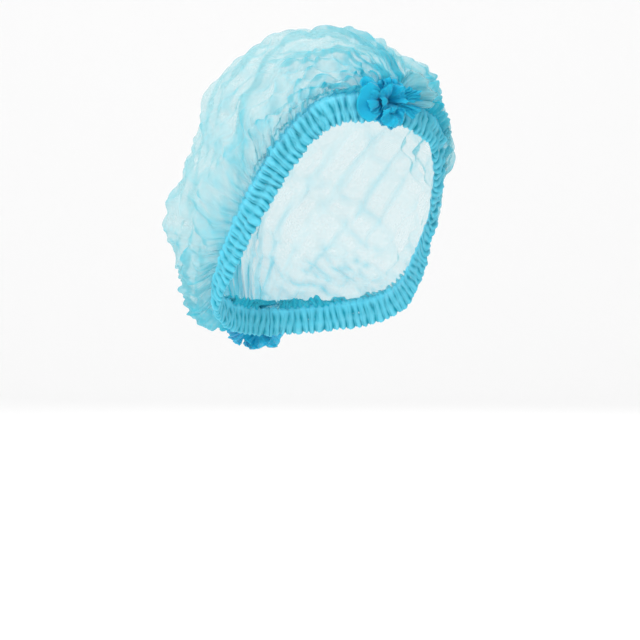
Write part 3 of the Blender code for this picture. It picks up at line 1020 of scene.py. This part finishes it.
def build_fan(name, weld, across, up, out, row, finish, seed):
    """One fan of pleats. row gives its turn in degrees, reach, folds, fold height, lift and curl."""
    start, end = (math.radians(value) for value in row["turn"])
    bm = bmesh.new()
    bmesh.ops.create_grid(bm, x_segments=row["folds"] * STEPS_PER_FOLD, y_segments=FAN_STEPS_OUT, size=0.5)
    depth_layer = bm.verts.layers.float.new("layers")
    for vert in bm.verts:
        round_share, out_share = vert.co.x + 0.5, vert.co.y + 0.5
        folds = row["folds"]
        beat = folds * round_share + 0.35 * wander(round_share * folds * 0.8, out_share * 1.2, seed)
        wave = math.sin(2 * math.pi * beat)
        wave += 0.35 * math.sin(6 * math.pi * beat + 5 * wander(beat, 2.0, seed))
        angle = start + (end - start) * round_share + 0.16 * wander(beat * 0.5, out_share * 1.5, seed + 8)
        lobe = math.sin(math.pi * min(1.0, max(0.0, round_share))) ** 0.5
        reach = row["reach"] * (0.62 + 0.38 * lobe) * (1 + 0.20 * wander(beat * 0.55, 5.1, seed))
        distance = WELD_RADIUS + reach * out_share
        rise = row["lift"] * math.sin(out_share * math.pi * row["curl"])
        rise += row["height"] * wave * out_share ** 0.8
        rise += 0.0028 * wander(beat * 1.1, out_share * 2.6, seed + 3) * out_share
        vert.co = weld + across * math.cos(angle) * distance + up * math.sin(angle) * distance + out * rise
        melted = max(0.0, (out_share - 0.93) / 0.07)
        # painted shade: besides the layers that meet at the weld, the colour deepens towards the hollow of
        # each fold
        depth = 0.55 * (1 - out_share) ** 1.3 + 0.22 * (1 - wave) + row["depth"] - 1.3 * melted
        vert[depth_layer] = max(-0.35, min(1.0, depth))
    bmesh.ops.solidify(bm, geom=bm.faces[:], thickness=FAN_THICKNESS)
    bmesh.ops.recalc_face_normals(bm, faces=bm.faces)
    if bm.calc_volume(signed=True) < 0:
        bmesh.ops.reverse_faces(bm, faces=bm.faces)
    made = object_from(name, bm)
    made.data.materials.append(finish)
    return made


print("one fold of a fan is", STEPS_PER_FOLD, "by", FAN_STEPS_OUT, "faces")

# %% [markdown]
# A bunch looks welded rather than placed when its fans differ: a skirt of short pleats lies flat on the
# hem all the way round, one broad lobe folds over to the side, narrow rays spread to the other, and a
# heart of the shortest pleats stands out in the middle. The nape bunch has the same kinds of fan, a
# little smaller.

# %% The fans of both bunches
# turn: where the fan starts and ends round the weld, in degrees upwards from the cap's left
# at: how far its root lies from the weld, aside and up
# depth: how much deeper its colour is than the other fans'
BROW_FANS = {
    "skirt": dict(
        turn=(0, 360), at=(0, 0), reach=0.0125, folds=9,
        height=0.0012, lift=0.0016, curl=0.60, depth=0.30,
    ),
    "lobe": dict(
        turn=(138, 236), at=(-0.003, 0), reach=0.0200, folds=1,
        height=0.0014, lift=0.0052, curl=0.66, depth=0.05,
    ),
    "lobe_fold": dict(
        turn=(150, 228), at=(-0.004, 0.001), reach=0.0140, folds=2,
        height=0.0014, lift=0.0074, curl=0.62, depth=0.15,
    ),
    "leaf": dict(
        turn=(134, 160), at=(-0.002, 0.003), reach=0.0185, folds=1,
        height=0.0012, lift=0.0036, curl=0.70, depth=0.0,
    ),
    "crest": dict(
        turn=(48, 142), at=(0.001, 0.002), reach=0.0120, folds=4,
        height=0.0015, lift=0.0054, curl=0.70, depth=0.05,
    ),
    "rays": dict(
        turn=(-42, 56), at=(0.004, 0), reach=0.0160, folds=9,
        height=0.0009, lift=0.0048, curl=0.60, depth=-0.20,
    ),
    "flap": dict(
        turn=(212, 330), at=(0.001, -0.001), reach=0.0125, folds=3,
        height=0.0014, lift=0.0084, curl=0.74, depth=0.10,
    ),
    "heart": dict(
        turn=(-20, 300), at=(0, 0.001), reach=0.0085, folds=5,
        height=0.0019, lift=0.0085, curl=0.60, depth=0.10,
    ),
    "pinch": dict(
        turn=(252, 290), at=(0.001, 0), reach=0.0150, folds=1,
        height=0.0010, lift=0.0026, curl=0.60, depth=0.75,
    ),
}
BROW_RUFFLE = dict(turn=(-18, 62), reach=0.0270, folds=3, height=0.0022, lift=0.0050, curl=0.55, depth=0.0)
NAPE_FANS = {
    "skirt": dict(
        turn=(0, 360), at=(0, 0), reach=0.0120, folds=9,
        height=0.0012, lift=0.0016, curl=0.60, depth=0.30,
    ),
    "lobe": dict(
        turn=(165, 250), at=(-0.003, 0), reach=0.0165, folds=3,
        height=0.0018, lift=0.0052, curl=0.60, depth=0.0,
    ),
    "flap": dict(
        turn=(228, 325), at=(0.001, 0), reach=0.0120, folds=3,
        height=0.0016, lift=0.0060, curl=0.68, depth=0.10,
    ),
    "rays": dict(
        turn=(-55, 45), at=(0.003, 0), reach=0.0165, folds=6,
        height=0.0013, lift=0.0048, curl=0.60, depth=-0.10,
    ),
    "crest": dict(
        turn=(40, 165), at=(0, 0.002), reach=0.0120, folds=5,
        height=0.0016, lift=0.0044, curl=0.70, depth=0.0,
    ),
    "heart": dict(
        turn=(0, 330), at=(0, 0), reach=0.0085, folds=5,
        height=0.0018, lift=0.0078, curl=0.60, depth=0.10,
    ),
}


print("fans:", len(BROW_FANS), "at the brow,", len(NAPE_FANS), "at the nape")

# %% [markdown]
# The weld's place is read from the solid bunch, so the dressed one lands on it. All the fans of a bunch
# are joined into one piece, because on the cap they are one welded end of cloth.

# %% Join the fans and add the upright ruffle
RUFFLE_ASIDE = Vector((0.004, 0.0, 0.002))  # from the weld to the root of the upright ruffle
RUFFLE_SEED = 71.3


def build_bunch(name, node, fans, tip_out):
    """All the fans of one bunch joined into one piece, set against the hem where the solid bunch is."""
    low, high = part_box(node)
    out = Vector((0, tip_out, 0))
    across = Vector((1, 0, 0)) if tip_out < 0 else Vector((-1, 0, 0))
    back = high.y if tip_out < 0 else low.y
    weld = Vector(((low.x + high.x) / 2 - 0.005, back + tip_out * 0.0015, (low.z + high.z) / 2))
    made = []
    up = Vector((0, 0, 1))
    for k, (part, row) in enumerate(fans.items()):
        root = weld + across * row["at"][0] + up * row["at"][1]
        seed = 13.1 * k + abs(low.y) * 100
        made.append(build_fan(f"{name}_{part}", root, across, up, out, row, bunch_finish, seed))
    joined = made[0]
    selection = dict(active_object=joined, selected_editable_objects=made, selected_objects=made)
    with bpy.context.temp_override(**selection):
        bpy.ops.object.join()
    joined.name = name
    return joined, weld, across, out


brow_bunch, brow_weld, brow_across, brow_out = build_bunch("brow_bunch_fans", "brow_bunch", BROW_FANS, -1)
nape_bunch, *_ = build_bunch("nape_bunch_fans", "nape_bunch", NAPE_FANS, 1)
ruffle_up = Vector((0, 0.25, 1)).normalized()  # it leans back over the crown
ruffle = build_fan(
    "brow_ruffle",
    brow_weld + RUFFLE_ASIDE,
    brow_across,
    ruffle_up,
    brow_out,
    BROW_RUFFLE,
    ruffle_finish,
    RUFFLE_SEED,
)
for piece, node in ((brow_bunch, "brow_bunch"), (nape_bunch, "nape_bunch")):
    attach(piece, "root")
    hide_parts(node)
    print(piece.name, len(piece.data.polygons), "faces")
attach(ruffle, "root")

# %% [markdown]
# ## The elastics
#
# The elastic is a bundle of stretched rubber wound with white yarn. It lies inside the hem and shows only
# as a pale line through the cloth, so the solid model's own elastic is kept and gets a finely wound
# surface.

# %% Elastic finish
def wound_yarn():
    made = bpy.data.materials.new("wound_yarn")
    made.use_nodes = True
    tree = made.node_tree
    shader = tree.nodes["Principled BSDF"]
    shader.inputs["Roughness"].default_value = 0.7
    place = new_node(tree, "ShaderNodeTexCoord").outputs["Object"]
    turns = new_node(tree, "ShaderNodeTexWave", wave_type="BANDS", bands_direction="DIAGONAL")
    turns.inputs["Scale"].default_value = 900
    turns.inputs["Distortion"].default_value = 1.5
    tree.links.new(place, turns.inputs["Vector"])
    colour = ramp_between(tree, turns.outputs["Fac"], (0.72, 0.80, 0.80), (0.88, 0.92, 0.92))
    tree.links.new(colour, shader.inputs["Base Color"])
    add_bump(tree, turns.outputs["Fac"], 0.5, 0.0001, (shader,))
    return made


yarn = wound_yarn()
for node in ("right_elastic", "left_elastic"):
    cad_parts[node].data.materials.clear()
    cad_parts[node].data.materials.append(yarn)
    print(node, "keeps its solid, with the finish", yarn.name)
